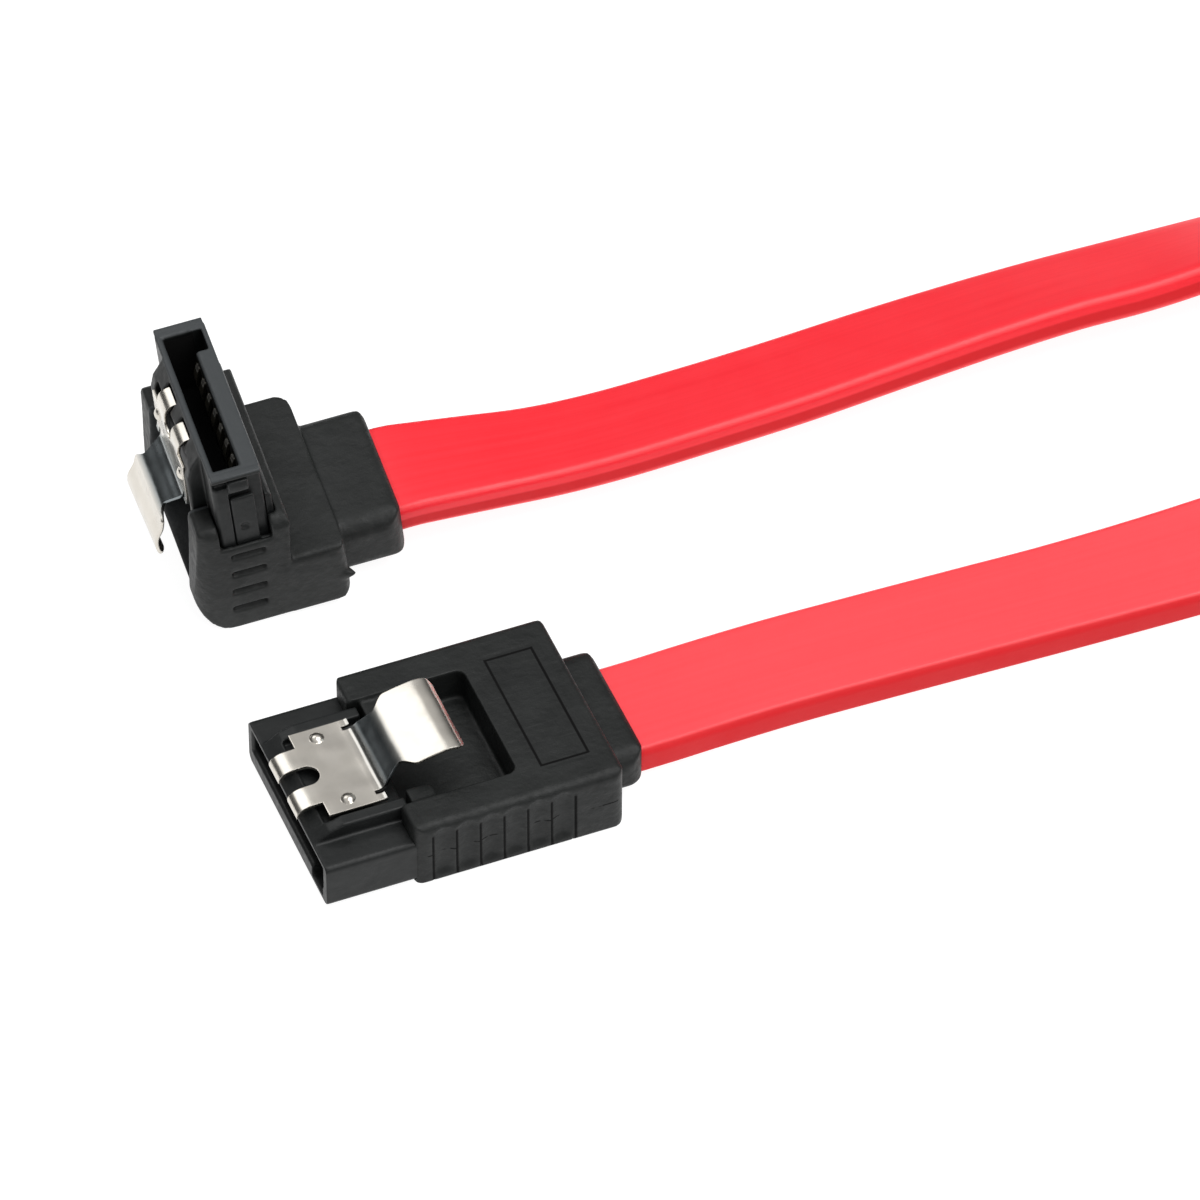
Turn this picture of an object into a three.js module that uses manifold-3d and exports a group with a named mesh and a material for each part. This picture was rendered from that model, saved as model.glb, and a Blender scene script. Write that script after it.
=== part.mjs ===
// A SATA data cable with a straight plug and a right-angle plug on one flat lead.
// Millimetres, +Z up. The straight plug lies along +X with its mating face towards -X.
// The angled plug stands behind it with its mating face up, and both leads leave towards +X.
//
// Both plugs are built on the same socket, drawn in the plug's own frame:
// X runs back from the mating face, Y across it, and Z from the thick wall to the latch side.

import * as THREE from "three";
import { mergeVertices } from "three/addons/utils/BufferGeometryUtils.js";
import Module from "manifold-3d";

// Socket
const socketWidth = 12.5;
const socketThickness = 3.0;
const socketCorner = 0.35;
const socketSeat = 0.5; // how far the socket sits inside the hood's mouth
const slotThinWall = 0.4;
const slotHeight = 1.5;
const slotSideWall = 0.65;
const slotDepth = 4.7;
const keyWidth = 1.75;
const keyFloor = 0.3;
const leadInChamfer = 0.12;
const tailMargin = 1.09; // beyond the outer contacts' middles
const tailThickness = 1.0;
const tailLift = 0.3; // underside of the tail above the socket's underside

// Contacts
const contactCount = 7;
const contactPitch = 1.27;
const contactOffset = 0.42; // the row is off centre, away from the key
const contactWidth = 0.65;
const contactSheet = 0.2;
const contactTipSetback = 0.75;
const contactBumpSetback = 1.75;
const contactBumpLift = 0.42;
const contactHeelSetback = 3.3;
const contactOverhang = 1.4; // length of the solder tail past the socket's tail
const channelDepth = 0.3;
const channelClearance = 0.05;

// Platform that carries the latch
const platformRim = 0.85; // beside the latch's plate
const platformHeight = 0.95;
const platformRamp = 1.9;
const pocketDepth = 0.6;
const pocketStart = 1.0;
const pocketClearance = 0.08;

// Latch, one bent strip of spring steel
const latchSheet = 0.2;
const latchPlateWidth = 6.6;
const latchProngWidth = 1.5;
const latchProngGap = 1.44;
const latchValleyWidth = 5.0;
const latchNeckWidth = 4.2;
const latchSlitWidth = 0.3;
const latchTabWidth = 5.7;
const latchTabCorner = 0.5;
// Each latch's middle line (x, height above the socket's latch side), from its prong tips over
// the plate and up the neck to the tab's curled end, and the places along x where its plan changes.
const straightLatch = {
  line: [
    [-0.12, 0.3],
    [-0.12, 0.52],
    [0.1, 0.78],
    [0.5, 0.93],
    [1.2, 0.99],
    [2.6, 1],
    [4.35, 1.02],
    [4.85, 1.08],
    [5.3, 1.6],
    [5.85, 2.2],
    [6.3, 2.52],
    [6.9, 2.72],
    [8.0, 2.98],
    [8.8, 3.1],
    [9.35, 3.02],
    [9.7, 2.75],
  ],
  shoulder: 1.35,
  gapEnd: 1.25,
  slitStart: 4.35,
  valley: 4.88,
  neck: 6.1,
  tab: 6.8,
  end: 9.78,
};
const angledLatch = {
  line: [
    [0.62, 0.12],
    [0.7, 0.5],
    [0.95, 0.78],
    [1.5, 0.9],
    [2.6, 0.93],
    [4.1, 0.95],
    [4.5, 1.05],
    [4.85, 1.6],
    [5.25, 2.25],
    [5.6, 2.5],
    [6.5, 2.75],
    [7.25, 3.15],
    [8.0, 3.2],
    [8.4, 3.05],
    [8.5, 2.8],
  ],
  shoulder: 1.5,
  gapEnd: 1.4,
  slitStart: 4.0,
  valley: 4.5,
  neck: 5.25,
  tab: 5.85,
  end: 8.6,
};
const plateLift = 0.99;
const barbRadius = 0.42;
const barbSetback = 2.77;
const barbSpacing = 5.0;

// Straight plug's hood
const straightExposed = 5.25; // socket length in front of the hood
const straightTail = 3.6;
const straightHolder = 3.4;
const straightHoodLength = 12.7;
const hoodWall = 0.3; // beside the socket
const hoodRise = 1.5; // top above the socket's latch side
const hoodEdge = 0.55;
const hoodCorner = 0.75;
const hoodFloor = 0.15; // hood wall under the socket
const recessGap = 0.1; // beside the platform
const recessLength = 7.0;
const recessCorner = 0.5;
const recessSink = 0.75; // recess floor below the socket's latch side
const postWidth = 1.2;
const postLength = 1.5;
const postSetback = 0.25;
const postLift = 1.1;
const panelWidth = 9.0;
const panelLength = 3.1;
const panelSetback = 1.3; // from the recess's back wall
const panelGroove = 0.26;
const panelGrooveSink = 0.36;
const panelSink = 0.08;
const gripCount = 6;
const gripPitch = 1.43;
const gripStart = 1.7;
const gripDepth = 0.24;
const gripTop = 3.55;
const bootWall = 1.0; // beside the lead
const bootCover = 0.6; // over and under the lead
const bootLift = 0.15;
const bootLength = 2.15;
const bootCorner = 1.1;
const bootEndCorner = 1.3;
const bootSocket = 1.0; // how far the lead goes into the boot

// Angled plug's hood
const angledHeight = 12.2; // mating face above the underside
const angledExposed = 5.7;
const angledTail = 2.4;
const angledHolder = 1.2;
const angledFront = 1.9; // hood's latch-side face in front of the socket
const angledLean = 0.45; // that face leans back by this much at the top
const pillarRise = 1.7; // the hood's latch-side wall rises beside the latch
const pillarCorner = 0.8;
const angledBack = 7.15;
const angledBackStep = 3.85;
const rearWallRise = 1.3; // the wall behind the socket
const rearWallBack = 4.15;
const angledLedge = 3.9;
const angledHeel = 2.2;
const angledToe = 0.8;
const deckHeight = 4.3;
const deckInset = 0.02;
const deckCorner = 1.2;
const angledRecessFloor = 1.3;
const angledBootLength = 3.9;
const angledBootWall = 1.2;
const angledBootRise = 0.35; // higher than the straight plug's boot
const slotGripCount = 4;
const slotGripPitch = 1.4;
const slotGripSetback = 0.1; // below the socket's seat
const slotGripLength = 2.1;
const slotGripWidth = 0.35;
const slotGripDepth = 0.3;

// Angled plug's snap-on cover and the socket's side windows
const coverSheet = 0.45;
const coverInset = 0.6;
const coverTop = 2.9; // below the mating face
const windowSink = 0.35;
const windowRim = 0.35;
const notchStart = 0.25; // notches in the thin wall, under the prongs' tips
const notchFloor = 2.75;
const notchGap = 0.1;
const snapStart = 0.95;
const snapWidth = 1.15;
const snapLength = 1.2;
const tongueWidth = 1.4;
const tongueGap = 0.5;
const tongueLength = 3.6;
const tongueDimple = 0.28;

// Lead
const leadWidth = 7.2;
const leadThickness = 1.9;
const leadCorner = 0.5;
const leadSteps = 80;
const leadClearance = 0.09;
const endGap = 0.3;
const fitGap = 0.04;

// Where the plugs stand: the origin is under the middle of the two plugs
const straightAt = [-9.79, -11.37, 0];
const angledAt = [-6.35, 11.3, -0.022];
const angledYaw = -5.25;
const angledPitch = 5.27; // the lead holds that end of the plug a little off the surface

// The lead's route: x, y, how far the flat lead is rolled onto its edge, and its lift off the surface.
const straightRun = [
  [9.31, -11.37, 0, 0.35],
  [10.31, -11.37, 0, 0.35],
  [12.65, -11.22, 0, 0.2],
  [15.21, -11.0, 0, 0.03],
  [20.21, -10.92, 0, 0],
  [26.21, -11.07, 0, 0],
  [32.21, -11.27, 0, 0],
  [38.21, -11.47, 0, 0],
  [45.21, -11.67, 3, 0],
  [53.15, -11.8, 10, 0],
  [63.15, -11.85, 26, 0],
  [80.15, -11.85, 46, 0],
  [100.15, -11.85, 70, 0],
  [122.15, -11.85, 89, 0],
];
const angledRun = [
  [122.15, 10.4, 89, 0],
  [100.15, 10.4, 70, 0],
  [80.15, 10.35, 47, 0],
  [63.15, 10.3, 29, 0],
  [52.51, 10.43, 19.2, 0],
  [47.21, 10.58, 18.6, 0],
  [42.21, 10.56, 17, 0],
  [36.21, 10.38, 14.7, 0],
  [29.21, 10.03, 13, 0],
  [23.21, 9.88, 12.4, 0],
  [18.21, 9.88, 11.2, 0.01],
  [14.21, 9.93, 9.3, 0.3],
  [10.21, 10.03, 5.5, 1.0],
  [7.21, 10.13, 2.5, 1.52],
  [5.25, 10.235, 0.5, 1.79],
  [4.452, 10.307, 0, 1.736],
  [3.46, 10.399, 0, 1.644],
];
const loopRadius = 28;
const flareRadius = 20;
const loopMiddle = -0.72;
const loopPoints = 26;
const flarePoints = 4;

const arcSegments = 7;

// Sizes that follow from the ones above
const tailWidth = (contactCount - 1) * contactPitch + 2 * tailMargin;
const platformWidth = latchPlateWidth + 2 * platformRim;
const hoodWidth = socketWidth + 2 * hoodWall;
const hoodHeight = socketThickness + hoodRise;
const recessWidth = platformWidth + 2 * recessGap;
const bootWidth = leadWidth + 2 * bootWall;
const bootHeight = leadThickness + 2 * bootCover;
const angledTop = angledHeight - angledExposed;
const pillarTop = angledTop + pillarRise;
const rearWallTop = angledTop + rearWallRise;
const deckWidth = hoodWidth - 2 * deckInset;
const coverWidth = socketWidth - 2 * coverInset;
const slotGripTop = angledTop - socketSeat - slotGripSetback;

const wasm = await Module();
wasm.setup();

// Solids and meshes

function solidFrom(geometry) {
  const bare = geometry.clone();
  bare.deleteAttribute("normal");
  bare.deleteAttribute("uv");
  const merged = mergeVertices(bare, 1e-4);
  return new wasm.Manifold(
    new wasm.Mesh({
      numProp: 3,
      vertProperties: new Float32Array(merged.attributes.position.array),
      triVerts: new Uint32Array(merged.index.array),
    }),
  );
}

function geometryFrom(solid) {
  const mesh = solid.getMesh();
  const geometry = new THREE.BufferGeometry();
  geometry.setAttribute("position", new THREE.BufferAttribute(mesh.vertProperties, 3));
  geometry.setIndex(new THREE.BufferAttribute(mesh.triVerts, 1));
  return geometry;
}

function joined(first, ...rest) {
  return rest.reduce((sum, solid) => sum.add(solid), first);
}

function cut(body, ...tools) {
  return tools.reduce((left, tool) => left.subtract(tool), body);
}

// Prisms: an outline drawn in two of the axes, carried along the third.

function prism(outline, low, high, basis) {
  const geometry = new THREE.ExtrudeGeometry(outline, {
    depth: high - low,
    bevelEnabled: false,
    curveSegments: arcSegments,
  });
  geometry.translate(0, 0, low);
  geometry.applyMatrix4(basis);
  return solidFrom(geometry);
}

const axisX = new THREE.Vector3(1, 0, 0);
const axisY = new THREE.Vector3(0, 1, 0);
const axisZ = new THREE.Vector3(0, 0, 1);
const alongZ = new THREE.Matrix4();
const alongX = new THREE.Matrix4().makeBasis(axisY, axisZ, axisX);
const alongY = new THREE.Matrix4().makeBasis(axisZ, axisX, axisY);

// outline in x, y
const prismZ = (outline, low, high) => prism(outline, low, high, alongZ);
// outline in y, z
const prismX = (outline, low, high) => prism(outline, low, high, alongX);
// outline in z, x
const prismY = (outline, low, high) => prism(outline, low, high, alongY);

function rectangle(left, right, bottom, top, radii = 0) {
  const [a, b, c, d] = Array.isArray(radii) ? radii : [radii, radii, radii, radii];
  const shape = new THREE.Shape();
  const quarter = Math.PI / 2;
  const corner = (x, y, r, start) => {
    if (r > 0) shape.absarc(x, y, r, start, start + quarter, false);
    else shape.lineTo(x, y);
  };
  shape.moveTo(left + a, bottom);
  corner(right - b, bottom + b, b, -quarter);
  corner(right - c, top - c, c, 0);
  corner(left + d, top - d, d, quarter);
  corner(left + a, bottom + a, a, 2 * quarter);
  return shape;
}

function box(x, y, z) {
  return prismZ(rectangle(x[0], x[1], y[0], y[1]), z[0], z[1]);
}

function outlineOf(points) {
  return new THREE.Shape(points.map(([x, y]) => new THREE.Vector2(x, y)));
}

// The side view of a bent strip: its middle line given half its sheet to either side.
function stripOutline(middle, sheet, samples) {
  const path = new THREE.CatmullRomCurve3(
    middle.map(([x, z]) => new THREE.Vector3(x, z, 0)),
    false,
    "centripetal",
  );
  const upper = [];
  const lower = [];
  for (let i = 0; i <= samples; i++) {
    const at = path.getPointAt(i / samples);
    const along = path.getTangentAt(i / samples);
    const side = new THREE.Vector2(-along.y, along.x).multiplyScalar(sheet / 2);
    // drawn in z, x for a prism along Y
    upper.push(new THREE.Vector2(at.y + side.y, at.x + side.x));
    lower.push(new THREE.Vector2(at.y - side.y, at.x - side.x));
  }
  return new THREE.Shape([...upper, ...lower.reverse()]);
}

// The plan of a symmetric piece, from the points of its left half.
function mirroredPlan(half) {
  const other = half.map(([x, y]) => [x, -y]).reverse();
  return outlineOf([...half, ...other]);
}

// Contact socket

const slotTop = socketThickness - slotThinWall;
const slotFloor = slotTop - slotHeight;
const slotHalf = socketWidth / 2 - slotSideWall;
const tailTop = tailLift + tailThickness;

function contactPlaces() {
  const middle = (contactCount - 1) / 2;
  return Array.from({ length: contactCount }, (_, i) => contactOffset + (i - middle) * contactPitch);
}

function makePlatform(length) {
  const top = socketThickness + platformHeight;
  const side = [
    [socketThickness - fitGap, 0],
    [socketThickness + platformHeight * 0.75, platformRamp * 0.55],
    [top, platformRamp],
    [top, length],
    [socketThickness - fitGap, length],
  ];
  const block = prismY(outlineOf(side.reverse()), -platformWidth / 2, platformWidth / 2);
  const pocketHalf = latchPlateWidth / 2 + pocketClearance;
  const pocket = box([pocketStart, length + 1], [-pocketHalf, pocketHalf], [top - pocketDepth, top + 1]);
  return cut(block, pocket);
}

function makeSocket(exposed, tailLength, withWindows) {
  const bodyEnd = exposed + socketSeat;
  const half = socketWidth / 2;
  const body = prismX(rectangle(-half, half, 0, socketThickness, socketCorner), 0, bodyEnd);
  const tail = box([bodyEnd - fitGap, bodyEnd + tailLength], [-tailWidth / 2, tailWidth / 2], [tailLift, tailTop]);
  const slot = box([-1, slotDepth], [-slotHalf, slotHalf], [slotFloor, slotTop]);
  const key = box([-1, slotDepth], [-slotHalf, -slotHalf + keyWidth], [keyFloor, slotFloor + fitGap]);
  const mouth = prismX(
    rectangle(-slotHalf - leadInChamfer, slotHalf + leadInChamfer, slotFloor - leadInChamfer, slotTop + leadInChamfer),
    -1,
    leadInChamfer,
  );
  const channels = contactPlaces().map((y) => {
    const reach = contactWidth / 2 + channelClearance;
    const groove = slotFloor - channelDepth;
    return box([contactTipSetback - 0.15, bodyEnd + tailLength + 1], [y - reach, y + reach], [groove, slotFloor + fitGap]);
  });
  // The grooves stay open on top along the tail.
  const openTail = contactPlaces().map((y) => {
    const reach = contactWidth / 2 + channelClearance;
    return box([bodyEnd, bodyEnd + tailLength + 1], [y - reach, y + reach], [slotFloor, tailTop + 1]);
  });
  const shell = joined(body, makePlatform(bodyEnd), tail);
  const socket = cut(shell, slot, key, mouth, ...channels, ...openTail);
  return withWindows ? cut(socket, ...sideWindows(bodyEnd)) : socket;
}

// Shallow windows in both ends of the angled socket, round the snap blocks, and notches under
// the prongs of its latch.
function sideWindows(bodyEnd) {
  const half = socketWidth / 2;
  const latchSide = socketThickness - snapStart;
  const farSide = latchSide - snapWidth;
  const blockEnd = windowRim + snapLength;
  const tongueStart = blockEnd + tongueGap;
  return [-1, 1].flatMap((side) => {
    const y = side > 0 ? [half - windowSink, half + 1] : [-half - 1, -half + windowSink];
    const near = side * (latchProngGap / 2 - notchGap);
    const far = side * (latchProngGap / 2 + latchProngWidth + notchGap);
    return [
      box([notchStart, pocketStart + fitGap], [Math.min(near, far), Math.max(near, far)], [notchFloor, socketThickness + 2]),
      box([windowRim, windowRim + snapLength * 0.6], y, [latchSide, socketThickness - 0.15]),
      box([windowRim, blockEnd], y, [-1, farSide]),
      box([blockEnd, tongueStart], y, [-1, latchSide]),
      box([tongueStart - fitGap, bodyEnd + 1], y, [-1, latchSide]),
    ];
  });
}

function makeContact(y, tailEnd) {
  const rest = slotFloor - channelDepth + channelClearance + contactSheet / 2;
  const middle = [
    [contactTipSetback, rest + 0.12],
    [contactBumpSetback - 0.35, rest + contactBumpLift * 0.8],
    [contactBumpSetback, rest + contactBumpLift],
    [contactBumpSetback + 0.4, rest + contactBumpLift * 0.8],
    [contactHeelSetback - 0.4, rest + 0.04],
    [contactHeelSetback, rest],
    [(contactHeelSetback + tailEnd) / 2, rest],
    [tailEnd + contactOverhang, rest],
  ];
  return prismY(stripOutline(middle, contactSheet, 22), y - contactWidth / 2, y + contactWidth / 2);
}

// Latch

function latchPlan(latch) {
  const inner = latchProngGap / 2;
  const outer = inner + latchProngWidth;
  const plate = latchPlateWidth / 2;
  const valley = latchValleyWidth / 2;
  const tab = latchTabWidth / 2;
  const slit = valley + latchSlitWidth;
  const half = [
    ...roundInner(latch.gapEnd, inner),
    [-1, inner],
    [-1, outer],
    [latch.shoulder - 0.25, outer],
    [latch.shoulder, outer + 0.25],
    [latch.shoulder, plate],
    [latch.valley, plate],
    [latch.valley, slit],
    [latch.slitStart, slit],
    [latch.slitStart, valley],
    [latch.valley, valley],
    [latch.neck, latchNeckWidth / 2],
    [latch.tab, tab],
    [latch.end - latchTabCorner, tab],
    [latch.end - latchTabCorner * 0.3, tab - latchTabCorner * 0.3],
    [latch.end, tab - latchTabCorner],
  ];
  return mirroredPlan(half);
}

// The rounded end of the gap between the prongs, from its middle to one prong.
function roundInner(middle, radius) {
  const points = [];
  for (let i = 1; i <= 5; i++) {
    const turn = (i / 5) * (Math.PI / 2);
    points.push([middle + radius * Math.cos(turn), radius * Math.sin(turn)]);
  }
  return points;
}

function makeLatch(latch) {
  const side = stripOutline(latch.line.map(([x, z]) => [x, socketThickness + z]), latchSheet, 56);
  const plateMiddle = socketThickness + plateLift;
  const strip = prismY(side, -latchPlateWidth / 2, latchPlateWidth / 2);
  const plan = prismZ(latchPlan(latch), socketThickness - 1, socketThickness + 4);
  const barbs = [-1, 1].map((end) => {
    const dome = new THREE.SphereGeometry(barbRadius, 12, 8);
    dome.scale(1, 1, 0.8);
    dome.translate(barbSetback, (end * barbSpacing) / 2, plateMiddle);
    const above = box([0, 8], [-8, 8], [plateMiddle - latchSheet / 2, plateMiddle + 2]);
    return solidFrom(dome).intersect(above);
  });
  return joined(strip.intersect(plan), ...barbs);
}

// Straight hood

function straightHood() {
  const front = straightExposed;
  const back = front + straightHoodLength;
  const half = hoodWidth / 2;
  const plan = prismZ(rectangle(front, back, -half, half, [0.3, hoodCorner, hoodCorner, 0.3]), 0, hoodHeight);
  const section = prismX(rectangle(-half, half, 0, hoodHeight, [0.2, 0.2, hoodEdge, hoodEdge]), front, back);
  // drawn in z, x
  const side = prismY(rectangle(0, hoodHeight, front, back, [0.15, 0.3, 0.35, 0.4]), -half, half);
  const bootStart = back - hoodCorner;
  const boot = makeBoot(bootStart, back + bootLength, bootWidth / 2, bootHeight);
  const shell = joined(plan.intersect(section).intersect(side), boot);
  return joined(cut(shell, ...straightHoodCuts(front, back)), ...posts(front));
}

// The lead's boot, on the hood's back, with its outer edges rounded.
function makeBoot(start, end, half, height) {
  const top = bootLift + height;
  const round = bootEndCorner;
  const section = prismX(rectangle(-half, half, bootLift, top, [0.6, 0.6, bootCorner, bootCorner]), start, end);
  const plan = prismZ(rectangle(start, end, -half, half, [0, round, round, 0]), 0, top);
  const side = prismY(rectangle(bootLift, top, start, end, [0, 0, 0.6, 0.35]), -half, half);
  return section.intersect(plan).intersect(side);
}

function hoodInside(start, length) {
  const half = tailWidth / 2 + fitGap;
  return box([start, start + length], [-half, half], [tailLift - fitGap, tailTop + fitGap]);
}

function socketMouth(start) {
  const half = socketWidth / 2 + fitGap;
  const outline = rectangle(-half, half, -fitGap, socketThickness + fitGap, socketCorner);
  return prismX(outline, start - 1, start + socketSeat + fitGap);
}

function platformMouth(start, top) {
  const half = platformWidth / 2 + fitGap;
  return box([start - 1, start + socketSeat + fitGap], [-half, half], [socketThickness, top]);
}

function leadMouth(end, height) {
  const half = leadWidth / 2 + leadClearance;
  const reach = leadThickness / 2 + leadClearance;
  return prismX(rectangle(-half, half, height - reach, height + reach, leadCorner), end - bootSocket - endGap, end + 1);
}

function straightHoodCuts(front, back) {
  const sunk = [socketThickness + hoodFloor - recessSink, hoodHeight + 1];
  const recessBack = front + recessLength;
  const recessHalf = recessWidth / 2;
  const recess = prismZ(
    rectangle(front - 1, recessBack, -recessHalf, recessHalf, [0, recessCorner, recessCorner, 0]),
    ...sunk,
  );
  const inside = hoodInside(front - 1, socketSeat + straightTail + straightHolder + 2).translate([0, 0, hoodFloor]);
  const mouth = socketMouth(front).translate([0, 0, hoodFloor]);
  const lead = leadMouth(back + bootLength, restHeight(0) + straightRun[0][3]);
  return [recess, inside, mouth, lead, panelFrame(recessBack), ...grips(front)];
}

// A sunken panel behind the recess, inside a deeper frame line.
function panelFrame(recessBack) {
  const start = recessBack + panelSetback;
  const half = panelWidth / 2;
  const top = hoodHeight + 1;
  const outer = box([start, start + panelLength], [-half, half], [hoodHeight - panelGrooveSink, top]);
  const inner = box(
    [start + panelGroove, start + panelLength - panelGroove],
    [-half + panelGroove, half - panelGroove],
    [0, hoodHeight - panelSink],
  );
  const skim = box([start, start + panelLength], [-half, half], [hoodHeight - panelSink, top]);
  return joined(cut(outer, inner), skim);
}

// Finger grips: upright scoops in both sides, each ending in a round top.
function grips(front) {
  const radius = gripPitch * 0.78;
  const half = hoodWidth / 2;
  const scoops = [];
  for (let i = 0; i < gripCount; i++) {
    for (const side of [-1, 1]) {
      const x = front + gripStart + i * gripPitch;
      const y = side * (half - gripDepth + radius);
      const post = new THREE.CylinderGeometry(radius, radius, gripTop + 1, 20);
      post.rotateX(Math.PI / 2);
      post.translate(x, y, (gripTop - 1) / 2);
      const end = new THREE.SphereGeometry(radius, 20, 10);
      end.rotateX(Math.PI / 2);
      end.translate(x, y, gripTop);
      scoops.push(solidFrom(post).add(solidFrom(end)));
    }
  }
  return scoops;
}

// Two posts beside the latch's neck stop it from being bent sideways.
function posts(front) {
  const inner = latchTabWidth / 2 + 0.15;
  const base = socketThickness + hoodFloor - recessSink - fitGap;
  const start = front + postSetback + socketSeat;
  return [-1, 1].map((side) => {
    const y = side > 0 ? [inner, inner + postWidth] : [-inner - postWidth, -inner];
    const corners = side > 0 ? [0, 0.35, 0.1, 0] : [0, 0.1, 0.35, 0];
    const plan = rectangle(start, start + postLength, y[0], y[1], corners);
    return prismZ(plan, base, socketThickness + hoodFloor + postLift);
  });
}

function makeWireHolder(start, length) {
  const half = tailWidth / 2 - 0.3;
  const block = box([start, start + length], [-half, half], [tailLift, tailTop]);
  const reach = contactWidth / 2 + channelClearance;
  const slots = contactPlaces().map((y) =>
    box([start - 1, start + contactOverhang + 0.3], [y - reach, y + reach], [slotFloor - channelDepth, tailTop + 1]),
  );
  return cut(block, ...slots);
}

// Angled hood: drawn with u towards the lead, v away from the viewer and z up,
// its socket's latch side at u = 0.

function angledHood() {
  const half = hoodWidth / 2;
  const profile = angledProfile();
  const block = prismY(profile, -half, half);
  const plan = prismZ(
    rectangle(-angledFront, angledBack, -half, half, [1.5, 0.7, 0.9, 1.5]),
    0,
    rearWallTop,
  );
  const ends = prismX(rectangle(-half, half, 0, rearWallTop, [0, 0, pillarCorner, pillarCorner]), -angledFront, angledBack);
  const deckHalf = deckWidth / 2;
  const deck = prismZ(
    rectangle(socketThickness, angledBack - 0.05, -deckHalf, deckHalf, [0, 0.5, deckCorner, 0]),
    1,
    deckHeight,
  );
  const deckSection = prismX(rectangle(-deckHalf, deckHalf, 1, deckHeight, [0, 0, 0.35, 0.35]), 0, angledBack);
  const boot = makeBoot(
    angledBack - 1.2,
    angledBack + angledBootLength,
    leadWidth / 2 + angledBootWall,
    bootHeight + angledBootRise,
  );
  const shell = joined(block.intersect(plan).intersect(ends), pillars(), deck.intersect(deckSection), boot);
  return cut(shell, ...angledHoodCuts());
}

// The wall in front of the socket's latch side, which the recess splits in two.
function pillars() {
  const half = hoodWidth / 2;
  const low = angledTop - 0.5;
  // drawn in z, u
  const side = outlineOf([
    [low, -fitGap],
    [low, -angledFront + angledLean],
    [pillarTop - 0.35, -angledFront + angledLean + 0.15],
    [pillarTop - 0.1, -angledFront + angledLean + 0.25],
    [pillarTop, -angledFront + angledLean + 0.45],
    [pillarTop, -fitGap],
  ].reverse());
  const plan = prismZ(rectangle(-angledFront, 0, -half, half, [1.5, 0, 0, 1.5]), low, pillarTop);
  const end = prismX(rectangle(-half, half, 0, pillarTop, [0, 0, pillarCorner, pillarCorner]), -angledFront, 0);
  return prismY(side, -half, half).intersect(plan).intersect(end);
}

function angledProfile() {
  const shape = new THREE.Shape();
  const right = Math.PI / 2;
  // drawn in z, u
  shape.moveTo(0, angledBack - angledToe);
  shape.absarc(angledHeel, angledHeel - angledFront, angledHeel, Math.PI, 1.5 * Math.PI, false);
  shape.lineTo(angledTop - 0.4, -angledFront + angledLean);
  shape.lineTo(angledTop, -angledFront + angledLean + 0.4);
  shape.lineTo(angledTop, socketThickness + fitGap);
  shape.lineTo(rearWallTop, socketThickness + fitGap);
  shape.lineTo(rearWallTop, rearWallBack - 0.35);
  shape.lineTo(rearWallTop - 0.12, rearWallBack - 0.1);
  shape.lineTo(rearWallTop - 0.35, rearWallBack);
  shape.lineTo(angledLedge, angledBackStep);
  shape.lineTo(angledLedge, angledBack);
  shape.absarc(angledToe, angledBack - angledToe, angledToe, right, Math.PI, false);
  return shape;
}

function angledHoodCuts() {
  const half = hoodWidth / 2;
  const recessHalf = recessWidth / 2;
  const recess = prismZ(
    rectangle(-angledFront - 1, recessSink, -recessHalf, recessHalf, [0, recessCorner, recessCorner, 0]),
    angledRecessFloor,
    pillarTop + 1,
  );
  const inPlug = (solid) => solid.transform(plugStanding().elements);
  const depth = socketSeat + angledTail + angledHolder + 1.2;
  const inside = inPlug(hoodInside(angledExposed - 1, depth + 1));
  const mouth = inPlug(socketMouth(angledExposed));
  const landing = inPlug(platformMouth(angledExposed, socketThickness + platformHeight + fitGap));
  const lead = leadMouth(angledBack + angledBootLength, bootLift + bootHeight / 2);
  const coverBack = socketThickness + coverSheet + 2 * fitGap;
  const seat = angledTop - socketSeat - fitGap;
  const coverHalf = coverWidth / 2 + 2 * fitGap;
  const mouthHalf = socketWidth / 2 + fitGap;
  const coverSlot = box([socketThickness, coverBack], [-coverHalf, coverHalf], [seat, pillarTop]);
  const bridgeSlot = box([socketThickness - socketCorner, coverBack], [-mouthHalf, mouthHalf], [seat, angledTop]);
  const slots = [-1, 1].flatMap((side) => {
    const y = side > 0 ? [half - slotGripDepth, half + 1] : [-half - 1, -half + slotGripDepth];
    return Array.from({ length: slotGripCount }, (_, i) => {
      const z = slotGripTop - i * slotGripPitch;
      const start = 0.45 - i * 0.12;
      return box([start, start + slotGripLength], y, [z - slotGripWidth, z]);
    });
  });
  return [recess, inside, mouth, landing, lead, coverSlot, bridgeSlot, ...slots];
}

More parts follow.
